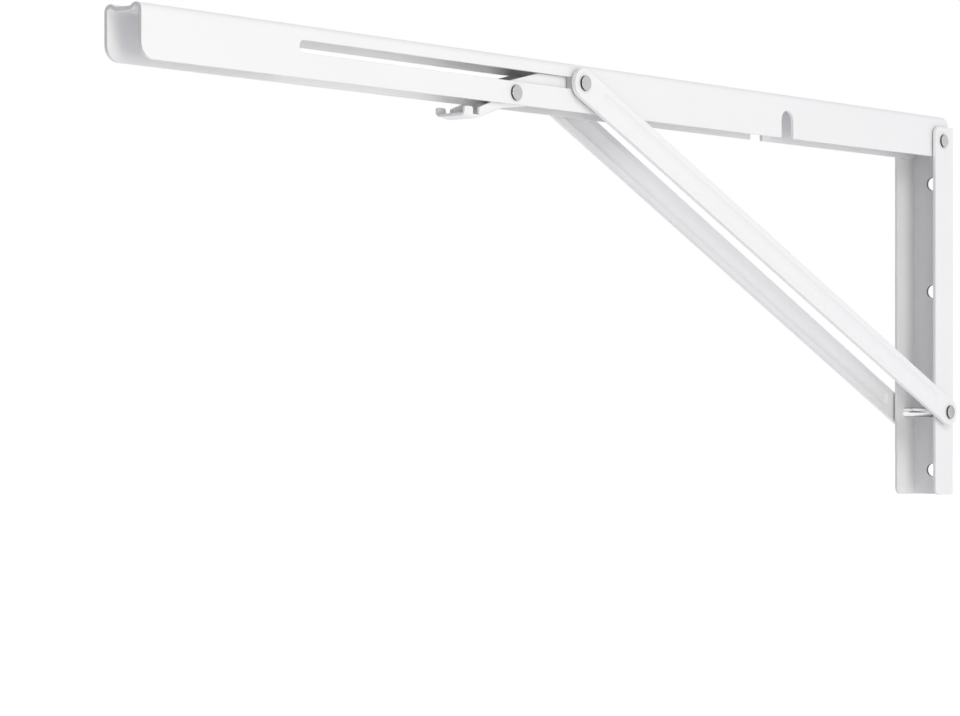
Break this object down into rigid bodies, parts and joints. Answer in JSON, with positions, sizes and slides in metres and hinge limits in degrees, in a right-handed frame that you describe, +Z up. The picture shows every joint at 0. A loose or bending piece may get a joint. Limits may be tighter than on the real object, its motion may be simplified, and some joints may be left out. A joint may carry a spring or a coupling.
{
  "type": "folding shelf bracket",
  "caption": "Folding wall bracket for a shelf: a channel arm held level by two brace bars, which slides and folds flat against its wall rail when a lever is pressed.",
  "frame": {"origin": "on the rail's back face, at the wall plane, midway across it and level with the arm's pivot", "axes": "+X to the right of someone facing the wall, +Y into the wall, +Z up; the open arm reaches along -Y"},
  "size_m": [0.036, 0.6, 0.2039],
  "materials": {
    "white_enamel": "satin",
    "zinc_plate": "satin",
    "bright_rod": "polished",
    "spring_steel": "oiled"
  },
  "bodies": {
    "wall_frame": {"wall_rail": "white_enamel", "arm_pivot_rivet": "zinc_plate", "brace_pivot_rod": "bright_rod", "arm_washer_right": "zinc_plate", "arm_washer_left": "zinc_plate", "brace_washer_right": "zinc_plate", "brace_washer_left": "zinc_plate"},
    "arm": {"support_arm": "white_enamel", "lever_rivet": "zinc_plate", "lever_spring": "spring_steel"},
    "slide": {"slide_stud_right": "zinc_plate", "slide_stud_left": "zinc_plate", "slide_bush_right": "zinc_plate", "slide_bush_left": "zinc_plate"},
    "brace": {"brace_bar_right": "white_enamel", "brace_bar_left": "white_enamel", "slide_rivet_right": "zinc_plate", "slide_rivet_left": "zinc_plate"},
    "lever": {"release_lever": "white_enamel"}
  },
  "joints": [
    {"name": "arm_fold", "type": "hinge", "parent": "wall_frame", "child": "arm", "pos_m": [0, -0.011, 0], "axis": [1, 0, 0], "range_deg": [0, 90]},
    {"name": "brace_swing", "type": "hinge", "parent": "wall_frame", "child": "brace", "pos_m": [0, -0.011, -0.146], "axis": [1, 0, 0], "range_deg": [0, 114.73]},
    {"name": "pin_slide", "type": "slide", "parent": "arm", "child": "slide", "axis": [0, -1, 0], "range_m": [0, 0.17994]},
    {"name": "lever_release", "type": "hinge", "parent": "arm", "child": "lever", "pos_m": [0, -0.37214, -0.0033], "axis": [-1, 0, 0], "range_deg": [0, 16], "stiffness_Nm_per_rad": 0.12, "springref_deg": -6.88, "deforming": ["lever_spring"]}
  ],
  "couplings": [
    {"joint": "brace_swing", "follows": "arm_fold", "ratio": 1.2748},
    {"joint": "pin_slide", "follows": "arm_fold", "m_per_rad": 0.11455}
  ]
}
